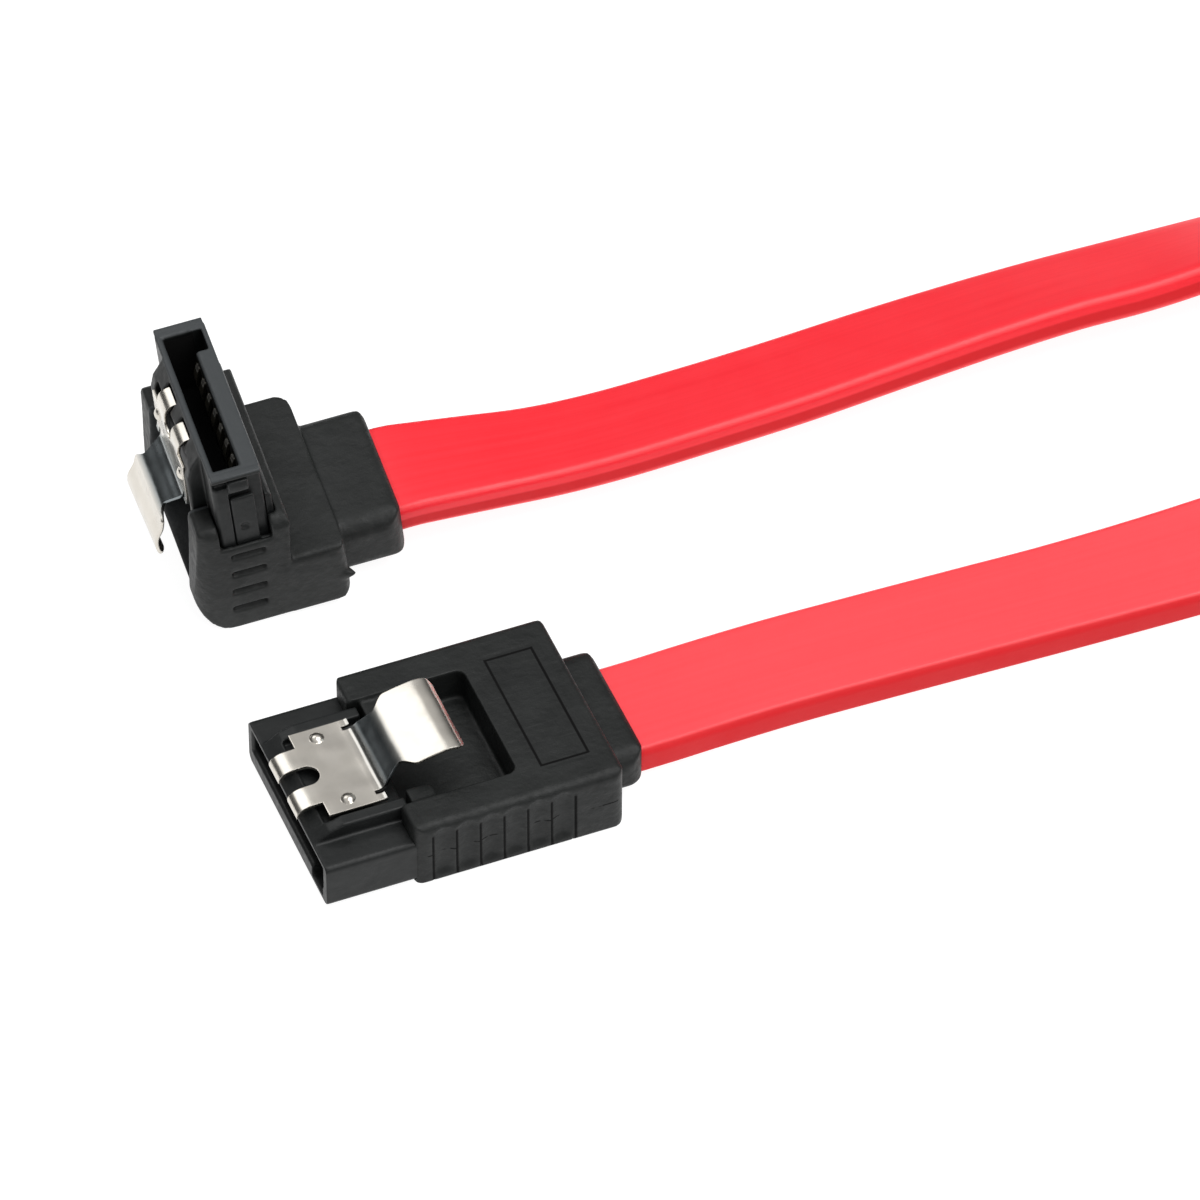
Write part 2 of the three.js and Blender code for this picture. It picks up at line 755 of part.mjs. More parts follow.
// The cover that snaps over the back of the angled socket, with a tongue at both ends.
function angledCover() {
  const start = socketThickness + fitGap;
  const top = angledHeight - coverTop;
  const bottom = angledTop - socketSeat;
  const half = coverWidth / 2;
  // drawn in z, u
  const side = outlineOf([
    [bottom, start],
    [top, start],
    [top - 0.05, start + coverSheet * 0.5],
    [top - 0.3, start + coverSheet],
    [bottom, start + coverSheet],
  ]);
  const plate = prismY(side, -half, half);
  const tongueTop = angledHeight - windowRim - snapLength - tongueGap;
  const left = snapStart + fitGap;
  const sheet = windowSink - 2 * fitGap;
  const socketHalf = socketWidth / 2;
  const tongues = [-1, 1].map((end) => {
    const y = end > 0 ? [socketHalf - sheet, socketHalf] : [-socketHalf, -socketHalf + sheet];
    const tongue = box([left, left + tongueWidth], y, [tongueTop - tongueLength, tongueTop]);
    const foot = [bottom, angledTop - 2 * fitGap];
    const leg = box([left, left + tongueWidth], y, [bottom, tongueTop - tongueLength + fitGap]);
    const inner = end > 0 ? [half - fitGap, y[1]] : [y[0], -half + fitGap];
    const bridge = box([left, start + coverSheet], y, foot).add(box([start, start + coverSheet], inner, foot));
    const dimple = new THREE.CylinderGeometry(tongueDimple, tongueDimple, sheet, 10);
    dimple.translate(left + tongueWidth * 0.45, end * socketHalf, tongueTop - tongueLength * 0.66);
    return cut(joined(tongue, leg, bridge), solidFrom(dimple));
  });
  return joined(plate, ...tongues);
}

// Lead

// Height of the lead's middle when it rests on the surface, rolled by some degrees.
function restHeight(roll) {
  const turn = THREE.MathUtils.degToRad(roll);
  const across = leadWidth / 2 - leadCorner;
  const through = leadThickness / 2 - leadCorner;
  return across * Math.sin(turn) + through * Math.cos(turn) + leadCorner;
}

class RolledRoute extends THREE.CatmullRomCurve3 {
  constructor(route) {
    const middle = route.map(([x, y, roll, lift]) => new THREE.Vector3(x, y, restHeight(roll) + lift));
    super(middle, false, "centripetal");
    this.rolls = route.map(([, , roll]) => roll);
    this.arcLengthDivisions = 1200;
  }

  rollAt(u) {
    const place = this.getUtoTmapping(u) * (this.rolls.length - 1);
    const before = Math.min(Math.floor(place), this.rolls.length - 2);
    const share = place - before;
    return THREE.MathUtils.degToRad(this.rolls[before] * (1 - share) + this.rolls[before + 1] * share);
  }

  // The flat side faces up, and rolls outwards from the loop by rollAt.
  computeFrenetFrames(steps) {
    const frames = { tangents: [], normals: [], binormals: [] };
    for (let i = 0; i <= steps; i++) {
      const tangent = this.getTangentAt(i / steps);
      const left = new THREE.Vector3().crossVectors(axisZ, tangent).normalize();
      const up = new THREE.Vector3().crossVectors(tangent, left);
      const roll = this.rollAt(i / steps);
      const width = left.clone().multiplyScalar(Math.cos(roll)).addScaledVector(up, Math.sin(roll));
      frames.tangents.push(tangent);
      frames.normals.push(width);
      frames.binormals.push(new THREE.Vector3().crossVectors(tangent, width));
    }
    return frames;
  }
}

// The loop past the two runs: a flare out, one round turn and a flare back.
function loopRoute() {
  const startX = straightRun.at(-1)[0];
  const low = straightRun.at(-1)[1];
  const drop = loopMiddle - low;
  const flare = Math.acos((flareRadius + drop) / (flareRadius + loopRadius));
  const middleX = startX + (flareRadius + loopRadius) * Math.sin(flare);
  const points = [];
  for (let i = 1; i <= flarePoints; i++) {
    const turn = (flare * i) / (flarePoints + 1);
    const x = startX + flareRadius * Math.sin(turn);
    points.push([x, low - flareRadius * (1 - Math.cos(turn)), 90, 0]);
  }
  for (let i = 0; i <= loopPoints; i++) {
    const from = -Math.PI / 2 - flare;
    const turn = from + ((2 * flare + Math.PI) * i) / loopPoints;
    points.push([middleX + loopRadius * Math.cos(turn), loopMiddle + loopRadius * Math.sin(turn), 90, 0]);
  }
  for (let i = flarePoints; i >= 1; i--) {
    const turn = (flare * i) / (flarePoints + 1);
    const x = startX + flareRadius * Math.sin(turn);
    const high = 2 * loopMiddle - low;
    points.push([x, high + flareRadius * (1 - Math.cos(turn)), 90, 0]);
  }
  return points;
}

function leadSection() {
  const shape = new THREE.Shape();
  const a = leadWidth / 2 - leadCorner;
  const b = leadThickness / 2 - leadCorner;
  const right = Math.PI / 2;
  const corners = [[a, b], [-a, b], [-a, -b], [a, -b]];
  corners.forEach(([x, y], i) => {
    for (let k = 0; k <= 2; k++) {
      const turn = i * right + (k / 2) * right;
      const px = x + leadCorner * Math.cos(turn);
      const py = y + leadCorner * Math.sin(turn);
      if (i + k === 0) shape.moveTo(px, py);
      else shape.lineTo(px, py);
    }
  });
  return shape;
}

function makeLead() {
  const route = new RolledRoute([...straightRun, ...loopRoute(), ...angledRun]);
  const geometry = new THREE.ExtrudeGeometry(leadSection(), {
    steps: leadSteps,
    extrudePath: route,
    curveSegments: 1,
  });
  return solidFrom(geometry);
}

// Materials

const materials = {
  plastic: new THREE.MeshStandardMaterial({ color: 0x2b2d2d, roughness: 0.55, metalness: 0 }),
  hood: new THREE.MeshStandardMaterial({ color: 0x2e3030, roughness: 0.65, metalness: 0 }),
  steel: new THREE.MeshStandardMaterial({ color: 0xd9d4c6, roughness: 0.28, metalness: 1 }),
  gold: new THREE.MeshStandardMaterial({ color: 0xd2b36a, roughness: 0.3, metalness: 1 }),
  jacket: new THREE.MeshStandardMaterial({ color: 0xe33640, roughness: 0.45, metalness: 0 }),
};

function meshOf(name, solid, material) {
  const mesh = new THREE.Mesh(geometryFrom(solid), material);
  mesh.name = name;
  return mesh;
}

// A socket with its contacts and latch, in the plug's own frame.
function makePlug(name, latch, exposed, tailLength, holderLength, withWindows) {
  const plug = new THREE.Group();
  const tailEnd = exposed + socketSeat + tailLength;
  plug.add(meshOf(`${name}_contact_housing`, makeSocket(exposed, tailLength, withWindows), materials.plastic));
  contactPlaces().forEach((y, i) => {
    plug.add(meshOf(`${name}_contact_${i + 1}`, makeContact(y, tailEnd), materials.gold));
  });
  plug.add(meshOf(`${name}_latch`, makeLatch(latch), materials.steel));
  plug.add(meshOf(`${name}_wire_holder`, makeWireHolder(tailEnd + 0.1, holderLength), materials.plastic));
  return plug;
}

// Turns the plug's frame so that its mating face looks up and its latch side looks towards -u.
function plugStanding() {
  return new THREE.Matrix4()
    .makeBasis(axisZ.clone().negate(), axisY.clone().negate(), axisX.clone().negate())
    .setPosition(socketThickness, 0, angledHeight);
}

function straightPlug() {
  const plug = makePlug("straight", straightLatch, straightExposed, straightTail, straightHolder, false);
  plug.position.z = hoodFloor;
  const group = new THREE.Group();
  group.add(plug, meshOf("straight_hood", straightHood(), materials.hood));
  group.position.set(...straightAt);
  return group;
}

function angledPlug() {
  const plug = makePlug("angled", angledLatch, angledExposed, angledTail, angledHolder, true);
  plug.applyMatrix4(plugStanding());
  const group = new THREE.Group();
  group.add(plug);
  group.add(meshOf("angled_hood", angledHood(), materials.hood));
  group.add(meshOf("angled_rear_cover", angledCover(), materials.plastic));
  group.rotation.set(0, -THREE.MathUtils.degToRad(angledPitch), THREE.MathUtils.degToRad(angledYaw), "ZYX");
  group.position.set(...angledAt);
  return group;
}

const cable = new THREE.Group();
cable.add(straightPlug(), angledPlug(), meshOf("cable_jacket", makeLead(), materials.jacket));

export default cable;
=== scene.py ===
import math

import bpy
import numpy as np
from mathutils import Matrix, Vector


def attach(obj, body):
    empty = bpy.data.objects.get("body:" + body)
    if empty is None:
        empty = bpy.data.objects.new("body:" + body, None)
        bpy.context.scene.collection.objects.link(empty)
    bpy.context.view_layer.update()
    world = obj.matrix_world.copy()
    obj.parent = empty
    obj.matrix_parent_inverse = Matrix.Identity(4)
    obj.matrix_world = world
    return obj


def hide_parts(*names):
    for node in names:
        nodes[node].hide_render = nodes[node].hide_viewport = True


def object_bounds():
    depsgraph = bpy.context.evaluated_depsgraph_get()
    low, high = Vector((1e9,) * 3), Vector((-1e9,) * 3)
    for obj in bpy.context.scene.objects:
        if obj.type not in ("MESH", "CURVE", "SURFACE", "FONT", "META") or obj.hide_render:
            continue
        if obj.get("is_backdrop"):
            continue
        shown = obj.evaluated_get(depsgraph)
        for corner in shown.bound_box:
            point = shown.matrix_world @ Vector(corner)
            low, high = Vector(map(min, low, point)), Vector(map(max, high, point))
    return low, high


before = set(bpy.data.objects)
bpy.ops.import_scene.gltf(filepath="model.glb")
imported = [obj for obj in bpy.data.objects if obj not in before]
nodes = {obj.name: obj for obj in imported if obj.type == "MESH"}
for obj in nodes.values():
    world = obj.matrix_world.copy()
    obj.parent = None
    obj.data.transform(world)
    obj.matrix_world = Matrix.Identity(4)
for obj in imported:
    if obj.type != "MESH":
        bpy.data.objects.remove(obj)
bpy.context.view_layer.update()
print("frame loaded")

mm = 0.001

# Where the plugs stand, in millimetres and degrees.
straightAt = (-9.79, -11.37, 0.0)
angledAt = (-6.35, 11.3, -0.022)
angledYaw = math.radians(-5.25)
angledPitch = math.radians(5.27)
socketThickness = 3.0
hoodFloor = 0.15
angledHeight = 12.2

angledFrame = (
    Matrix.Translation(angledAt)
    @ Matrix.Rotation(angledYaw, 4, "Z")
    @ Matrix.Rotation(-angledPitch, 4, "Y")
)
straightFrame = Matrix.Translation(straightAt)
straightPlug = straightFrame @ Matrix.Translation((0, 0, hoodFloor))
# columns: the plug's own x, y and z seen in the angled frame
angledPlug = angledFrame @ Matrix(
    ((0, 0, -1, socketThickness), (0, -1, 0, 0), (-1, 0, 0, angledHeight), (0, 0, 0, 1))
)

# Camera

cameraElevation = math.radians(45.971)
cameraAzimuth = math.radians(21.887)
cameraDistance = 577.436
cameraTarget = Vector((13.384, -0.954, 0.0))


def makeCamera():
    data = bpy.data.cameras.new("camera")
    data.lens = 300
    data.sensor_width = 36
    data.clip_start = 0.01
    data.clip_end = 20
    camera = bpy.data.objects.new("camera", data)
    bpy.context.scene.collection.objects.link(camera)
    forward = Vector((
        math.sin(cameraAzimuth) * math.cos(cameraElevation),
        math.cos(cameraAzimuth) * math.cos(cameraElevation),
        -math.sin(cameraElevation),
    ))
    right = Vector((math.cos(cameraAzimuth), -math.sin(cameraAzimuth), 0))
    up = right.cross(forward)
    turn = Matrix((right, up, -forward)).transposed()
    place = (cameraTarget - forward * cameraDistance) * mm
    camera.matrix_world = Matrix.Translation(place) @ turn.to_4x4()
    bpy.context.scene.camera = camera


makeCamera()

# Lead

leadWidth = 7.2
leadThickness = 1.9
leadCorner = 0.5
# x, y, how far the flat lead is rolled onto its edge, and its lift off the surface
straightRun = [
    (9.31, -11.37, 0, 0.35),
    (10.31, -11.37, 0, 0.35),
    (12.65, -11.22, 0, 0.2),
    (15.21, -11.0, 0, 0.03),
    (20.21, -10.92, 0, 0),
    (26.21, -11.07, 0, 0),
    (32.21, -11.27, 0, 0),
    (38.21, -11.47, 0, 0),
    (45.21, -11.67, 3, 0),
    (53.15, -11.8, 10, 0),
    (63.15, -11.85, 26, 0),
    (80.15, -11.85, 46, 0),
    (100.15, -11.85, 70, 0),
    (122.15, -11.85, 89, 0),
]
angledRun = [
    (122.15, 10.4, 89, 0),
    (100.15, 10.4, 70, 0),
    (80.15, 10.35, 47, 0),
    (63.15, 10.3, 29, 0),
    (52.51, 10.43, 19.2, 0),
    (47.21, 10.58, 18.6, 0),
    (42.21, 10.56, 17, 0),
    (36.21, 10.38, 14.7, 0),
    (29.21, 10.03, 13, 0),
    (23.21, 9.88, 12.4, 0),
    (18.21, 9.88, 11.2, 0.01),
    (14.21, 9.93, 9.3, 0.3),
    (10.21, 10.03, 5.5, 1.0),
    (7.21, 10.13, 2.5, 1.52),
    (5.25, 10.235, 0.5, 1.79),
    (4.452, 10.307, 0, 1.736),
    (3.46, 10.399, 0, 1.644),
]
loopRadius = 28
flareRadius = 20
loopMiddle = -0.72
loopPoints = 26
flarePoints = 4
spanSteps = 24
leadRings = 560
cornerSteps = 6
flatSteps = 12


def restHeight(roll):
    turn = math.radians(roll)
    across = leadWidth / 2 - leadCorner
    through = leadThickness / 2 - leadCorner
    return across * math.sin(turn) + through * math.cos(turn) + leadCorner


# The loop past the two runs: a flare out, one round turn and a flare back.
def loopRoute():
    startX, low = straightRun[-1][:2]
    drop = loopMiddle - low
    flare = math.acos((flareRadius + drop) / (flareRadius + loopRadius))
    middleX = startX + (flareRadius + loopRadius) * math.sin(flare)
    points = []
    for i in range(1, flarePoints + 1):
        turn = flare * i / (flarePoints + 1)
        x = startX + flareRadius * math.sin(turn)
        points.append((x, low - flareRadius * (1 - math.cos(turn)), 90, 0))
    for i in range(loopPoints + 1):
        turn = -math.pi / 2 - flare + (2 * flare + math.pi) * i / loopPoints
        x = middleX + loopRadius * math.cos(turn)
        points.append((x, loopMiddle + loopRadius * math.sin(turn), 90, 0))
    high = 2 * loopMiddle - low
    for i in range(flarePoints, 0, -1):
        turn = flare * i / (flarePoints + 1)
        x = startX + flareRadius * math.sin(turn)
        points.append((x, high + flareRadius * (1 - math.cos(turn)), 90, 0))
    return points


# A smooth line through the points, spaced by the square root of their distances
# (a centripetal Catmull-Rom curve), sampled perSpan times between each two.
def smoothLine(points, perSpan):
    p = np.asarray(points, float)
    first = 2 * p[0] - p[1]
    last = 2 * p[-1] - p[-2]
    p = np.vstack([first, p, last])
    out = []
    for i in range(1, len(p) - 2):
        a, b, c, d = p[i - 1 : i + 3]
        place = lambda q, r: math.dist(q[:3], r[:3]) ** 0.5
        ab, bc, cd = place(a, b), place(b, c), place(c, d)
        t = np.linspace(0, 1, perSpan, endpoint=False)[:, None]
        # tangents at b and c, scaled to the span
        mb = (b - a) / ab - (c - a) / (ab + bc) + (c - b) / bc
        mc = (c - b) / bc - (d - b) / (bc + cd) + (d - c) / cd
        mb, mc = mb * bc, mc * bc
        out.append(
            (2 * t**3 - 3 * t**2 + 1) * b
            + (t**3 - 2 * t**2 + t) * mb
            + (3 * t**2 - 2 * t**3) * c
            + (t**3 - t**2) * mc
        )
    return np.vstack([*out, p[-2]])


def respaced(line, count):
    steps = np.linalg.norm(np.diff(line[:, :3], axis=0), axis=1)
    along = np.concatenate([[0], np.cumsum(steps)])
    at = np.linspace(0, along[-1], count)
    return np.stack([np.interp(at, along, line[:, k]) for k in range(line.shape[1])], 1), at


def leadSection():
    a, b = leadWidth / 2 - leadCorner, leadThickness / 2 - leadCorner
    points = []
    for i, (x, y) in enumerate([(a, b), (-a, b), (-a, -b), (a, -b)]):
        for k in range(cornerSteps + 1):
            turn = (i + k / cornerSteps) * math.pi / 2
            points.append((x + leadCorner * math.cos(turn), y + leadCorner * math.sin(turn)))
        if i % 2 == 0:
            # points along the flat faces
            for k in range(1, flatSteps):
                share = k / flatSteps
                points.append((x * (1 - 2 * share), y + (leadCorner if i == 0 else -leadCorner)))
    return np.array(points)


def meshObject(name, vertices, faces, material, smooth=True):
    mesh = bpy.data.meshes.new(name)
    mesh.from_pydata([tuple(v) for v in vertices], [], [tuple(f) for f in faces])
    mesh.update()
    piece = bpy.data.objects.new(name, mesh)
    bpy.context.scene.collection.objects.link(piece)
    mesh.materials.append(material)
    mesh.polygons.foreach_set("use_smooth", [smooth] * len(mesh.polygons))
    return piece


def makeLead(material):
    route = straightRun + loopRoute() + angledRun
    rows = [(x, y, restHeight(roll) + lift, roll) for x, y, roll, lift in route]
    line, at = respaced(smoothLine(rows, spanSteps), leadRings)
    middle = line[:, :3]
    tangent = np.gradient(middle, at, axis=0)
    tangent /= np.linalg.norm(tangent, axis=1, keepdims=True)
    left = np.cross([0, 0, 1], tangent)
    left /= np.linalg.norm(left, axis=1, keepdims=True)
    up = np.cross(tangent, left)
    roll = np.radians(line[:, 3])[:, None]
    width = left * np.cos(roll) + up * np.sin(roll)
    face = np.cross(tangent, width)
    section = leadSection()
    n = len(section)
    points = (
        middle[:, None, :]
        + section[None, :, :1] * width[:, None, :]
        + section[None, :, 1:] * face[:, None, :]
    )
    vertices = points.reshape(-1, 3) * mm
    faces = []
    for i in range(len(middle) - 1):
        for k in range(n):
            j = (k + 1) % n
            faces.append((i * n + k, i * n + j, (i + 1) * n + j, (i + 1) * n + k))
    faces.append(tuple(reversed(range(n))))
    faces.append(tuple(range((len(middle) - 1) * n, len(middle) * n)))
    lead = meshObject("red_lead", vertices, faces, material)
    # u runs along the lead and v round it, both in millimetres
    loopIndex = np.zeros(len(lead.data.loops), int)
    lead.data.loops.foreach_get("vertex_index", loopIndex)
    girth = np.concatenate([[0], np.cumsum(np.linalg.norm(np.diff(section, axis=0), axis=1))])
    uv = np.stack([at[loopIndex // n], girth[loopIndex % n]], 1)
    # the last strip of faces closes the section: its far edge is a whole turn on
    walls = uv[: 4 * n * (len(middle) - 1)].reshape(-1, n, 4, 2)
    walls[:, n - 1, 1:3, 1] = girth[-1] + np.linalg.norm(section[0] - section[-1])
    layer = lead.data.uv_layers.new(name="along")
    layer.data.foreach_set("uv", uv.ravel())
    return lead, middle * mm


# Materials

# An input is either a value or another node's output.
def setInputs(tree, node, inputs):
    for key, value in inputs.items():
        if isinstance(value, bpy.types.NodeSocket):
            tree.links.new(value, node.inputs[key])
        else:
            node.inputs[key].default_value = value
    return node


def addNode(tree, kind, inputs=None):
    return setInputs(tree, tree.nodes.new(kind), inputs or {})


def nodeMaterial(name):
    material = bpy.data.materials.new(name)
    material.use_nodes = True
    tree = material.node_tree
    return material, tree, tree.nodes["Principled BSDF"]


def noiseNode(tree, vector, scale, detail=4.0, roughness=0.55):
    inputs = {"Vector": vector, "Scale": scale, "Detail": detail, "Roughness": roughness}
    return addNode(tree, "ShaderNodeTexNoise", inputs).outputs["Fac"]


def rampNode(tree, value, stops):
    ramp = addNode(tree, "ShaderNodeValToRGB", {"Fac": value})
    elements = ramp.color_ramp.elements
    while len(elements) < len(stops):
        elements.new(0.5)
    for element, (place, colour) in zip(elements, stops):
        element.position = place
        element.color = (*colour, 1)
    return ramp.outputs["Color"]


def spanNode(tree, value, low, high, toLow, toHigh):
    inputs = {"Value": value, "From Min": low, "From Max": high, "To Min": toLow, "To Max": toHigh}
    return addNode(tree, "ShaderNodeMapRange", inputs).outputs["Result"]


def mathNode(tree, operation, a, b=0):
    node = addNode(tree, "ShaderNodeMath", {0: a, 1: b})
    node.operation = operation
    return node.outputs["Value"]


def mixNode(tree, share, first, second):
    inputs = {"Fac": share, "Color1": first, "Color2": second}
    return addNode(tree, "ShaderNodeMixRGB", inputs).outputs["Color"]


def bumpNode(tree, height, strength, distance):
    inputs = {"Height": height, "Strength": strength, "Distance": distance}
    return addNode(tree, "ShaderNodeBump", inputs).outputs["Normal"]


def scaledObject(tree, scale, turn=(0, 0, 0)):
    place = addNode(tree, "ShaderNodeTexCoord").outputs["Object"]
    inputs = {"Vector": place, "Scale": scale, "Rotation": turn}
    return addNode(tree, "ShaderNodeMapping", inputs).outputs["Vector"]


# the object's own place in millimetres
def placeNode(tree):
    return scaledObject(tree, (1000, 1000, 1000))


# x, y and z in millimetres in a plug's own frame
def plugCoordinates(tree, plug):
    back = plug.inverted()
    mapping = addNode(tree, "ShaderNodeMapping", {
        "Vector": addNode(tree, "ShaderNodeTexCoord").outputs["Object"],
        "Scale": (1000, 1000, 1000),
        "Rotation": back.to_euler("XYZ"),
        "Location": back.translation,
    })
    parts = addNode(tree, "ShaderNodeSeparateXYZ", {"Vector": mapping.outputs["Vector"]})
    return [parts.outputs[axis] for axis in "XYZ"]


def awayFrom(tree, value, middle):
    return mathNode(tree, "ABSOLUTE", mathNode(tree, "SUBTRACT", value, middle))


# 1 within half of the middle, falling to 0 over soft
def nearMask(tree, value, middle, half, soft=0.05):
    return spanNode(tree, awayFrom(tree, value, middle), half, half + soft, 1, 0)


def product(tree, first, *others):
    for other in others:
        first = mathNode(tree, "MULTIPLY", first, other)
    return first


def largest(tree, first, *others):
    for other in others:
        first = mathNode(tree, "MAXIMUM", first, other)
    return first


# Details of the straight hood in its plug's frame, in millimetres. The plastic's painted shade lines and
# finishHood both use them.
hoodDetails = {
    "front": 5.25,
    "half": 6.55,
    "frontRadius": 0.8,
    "side": 6.5,
    "top": 4.6,
    # the panel's middle, half its length and width, and the same of the hollow in the solid
    "panelAt": 15.1,
    "panelHalf": (1.42, 4.37),
    "panelHollow": (1.75, 4.75),
    "hollowAbove": 4.0,
    "panelTop": 4.49,
    "panelStep": 0.02,
    "panelEdge": (1.6, 0.3),
    "firstRidge": 6.235,
    "ridgePitch": 1.43,
    # middle and half
    "ridgeLength": (10.55, 4.5),
    "ridgeHeight": (1.7, 1.9),
    "partingHeight": 2.2,
    # where the scoops lie along the side, and how they end towards the underside
    "scoops": (6.4, 14.7),
    "scoopDepth": 0.4,
    "scoopBottom": (0.12, 0.9),
    "scoopFade": (0.75, 0.35),
    # where the boot's round corners begin in x, y and z
    "boot": (19.0, 3.5, 1.4),
    "bootStart": 18.1,
    "bootRadius": 1.15,
}
# the angled hood's grip slots, each a little nearer the latch than the one above it
gripSlots = {"count": 4, "at": 1.5, "slant": 0.12, "half": 1.02, "top": 5.8, "pitch": 1.4, "depth": 0.07}
# a socket's mouth: half its width, the middle and half of its height, and the depth over which its
# painted shade deepens inwards
mouth = {"half": 5.75, "height": (1.75, 0.93), "dusk": (0.12, 0.5)}
# the angled hood's hollow behind the tab: middle and half of its length, half its width, its floor
tabSpace = {"length": (-0.7, 1.3), "half": 4.45, "floor": (1.2, 1.35)}
# the contacts' pitch and offset across, and where along them the painted glint lies
contacts = {"pitch": 1.27, "offset": 0.42, "paintedGlint": 0.85}
# the jacket's flat faces round its section (middle, half and softness), of which the upper one is
# cut by the seam, and the length over which the painted sheen on the faces fades out
jacket = {"faces": ((3.4, 3.7, 0.2), (17.3, 0.25, 0.12), (13.0, 3.2, 0.25)), "paintedSheenFade": (150, 240)}


# The straight hood's painted shade: near-black lines for the shade in the groove round the panel,
# between the finger scoops, and along the broken parting line of the mould.
def straightPaintedShade(tree):
    d = hoodDetails
    x, y, z = plugCoordinates(tree, straightFrame)
    sideways = mathNode(tree, "ABSOLUTE", y)
    side = nearMask(tree, sideways, d["side"], 0.32)
    alongPanel = mathNode(tree, "SUBTRACT", awayFrom(tree, x, d["panelAt"]), d["panelHalf"][0])
    acrossPanel = mathNode(tree, "SUBTRACT", sideways, d["panelHalf"][1])
    edge = largest(tree, alongPanel, acrossPanel)
    panel = product(tree, nearMask(tree, edge, 0, 0.06), nearMask(tree, z, d["top"], 0.6))
    ridge = mathNode(tree, "DIVIDE", mathNode(tree, "SUBTRACT", x, d["firstRidge"]), d["ridgePitch"])
    ridges = product(
        tree,
        nearMask(tree, mathNode(tree, "FRACT", ridge), 0.05, 0.035, 0.1),
        nearMask(tree, x, *d["ridgeLength"], 0.1),
        nearMask(tree, z, *d["ridgeHeight"], 0.3),
        side,
    )
    patches = noiseNode(tree, scaledObject(tree, (900, 900, 900)), 1.0, 2)
    broken = spanNode(tree, patches, 0.46, 0.52, 0, 1)
    parting = product(tree, nearMask(tree, z, d["partingHeight"], 0.025), broken, side)
    return largest(tree, panel, ridges, parting)


# The angled hood's grip slots: painted shade along their upper halves, where each slot's lip shadows it.
def angledPaintedShade(tree):
    d = gripSlots
    x, y, z = plugCoordinates(tree, angledFrame)
    side = nearMask(tree, mathNode(tree, "ABSOLUTE", y), hoodDetails["side"], 0.35)
    return largest(tree, *(
        product(
            tree,
            nearMask(tree, x, d["at"] - d["slant"] * i, d["half"], 0.06),
            nearMask(tree, z, d["top"] - d["pitch"] * i, d["depth"]),
            side,
        )
        for i in range(d["count"])
    ))


# The inside of a socket's mouth, which is too deep for much light.
def mouthShade(plug):
    def shade(tree):
        x, y, z = plugCoordinates(tree, plug)
        return product(
            tree,
            spanNode(tree, x, *mouth["dusk"], 0, 1),
            nearMask(tree, y, 0, mouth["half"], 0.02),
            nearMask(tree, z, *mouth["height"], 0.02),
        )
    return shade


# The angled socket's mating face, painted paler than the rest as a reflection of the lamps.
def matingFace(tree):
    return nearMask(tree, plugCoordinates(tree, angledPlug)[0], 0, 0.06, 0.08)


# The hollow in the angled hood behind the latch's tab, painted paler too, as a reflection of the lamps.
def tabHollow(tree):
    x, y, z = plugCoordinates(tree, angledFrame)
    return product(
        tree,
        nearMask(tree, x, *tabSpace["length"], 0.1),
        nearMask(tree, y, 0, tabSpace["half"], 0.1),
        spanNode(tree, z, *tabSpace["floor"], 0, 1),
    )


# Patches between two tones, fine scuffs, painted shade in lines and hollows (near black and fully
# rough), and a part painted paler as a reflection if there is one.
def plasticMaterial(name, tones, lines, paintedReflection=None):
    material, tree, shader = nodeMaterial(name)
    place = placeNode(tree)
    patch = noiseNode(tree, place, 0.35, 3)
    colour = rampNode(tree, patch, [(0.3, tones["dark"]), (0.72, tones["light"])])
    streak = noiseNode(tree, scaledObject(tree, (300, 5200, 3000), (0.1, 0.2, 0.5)), 1.0, 2)
    scuff = mathNode(tree, "MULTIPLY", spanNode(tree, streak, 0.66, 0.78, 0, 1), 0.35)
    colour = mixNode(tree, scuff, colour, (*tones["wear"], 1))
    # a part painted paler, as a reflection of the lamps
    if paintedReflection:
        colour = mixNode(tree, paintedReflection(tree), colour, (0.05, 0.055, 0.058, 1))
    # painted shade: where this mask is 1 the colour goes near black and the surface fully rough
    hollow = lines(tree)
    fine = noiseNode(tree, place, 2.2, 5, 0.6)
    rough = spanNode(tree, fine, 0.3, 0.7, tones["roughness"] - 0.08, tones["roughness"] + 0.08)
    wrinkle = noiseNode(tree, scaledObject(tree, (700, 1500, 1500), (0.2, 0.1, 0.6)), 1.0, 3)
    coarse = mathNode(tree, "MULTIPLY", noiseNode(tree, place, 0.7, 2), 2.5)
    height = mathNode(tree, "ADD", coarse, mathNode(tree, "ADD", fine, wrinkle))
    setInputs(tree, shader, {
        "Base Color": mixNode(tree, hollow, colour, (0.0006, 0.0006, 0.0006, 1)),
        "Roughness": largest(tree, rough, hollow),
        "Normal": bumpNode(tree, height, tones["grain"], 0.04 * mm),
        "Specular IOR Level": 0.28,
    })
    return material


# Spring steel; the bend of the neck is painted darker and bluer, as shade.
def steelMaterial(name, plug, bend):
    material, tree, shader = nodeMaterial(name)
    tone = noiseNode(tree, placeNode(tree), 0.9, 3)
    colour = rampNode(tree, tone, [(0.3, (0.64, 0.605, 0.545)), (0.7, (0.7, 0.665, 0.605))])
    # painted shade over the bend of the neck
    paintedShade = nearMask(tree, plugCoordinates(tree, plug)[0], bend, 0.3, 0.65)
    lines = noiseNode(tree, scaledObject(tree, (350, 900, 900)), 1.0, 2)
    swell = mathNode(tree, "MULTIPLY", noiseNode(tree, scaledObject(tree, (320, 320, 320)), 1.0, 1), 60)
    setInputs(tree, shader, {
        "Base Color": mixNode(tree, paintedShade, colour, (0.24, 0.265, 0.275, 1)),
        "Metallic": 1,
        "Roughness": spanNode(tree, lines, 0.3, 0.7, 0.2, 0.28),
        "Normal": bumpNode(tree, mathNode(tree, "ADD", lines, swell), 0.1, 0.02 * mm),
    })
    return material
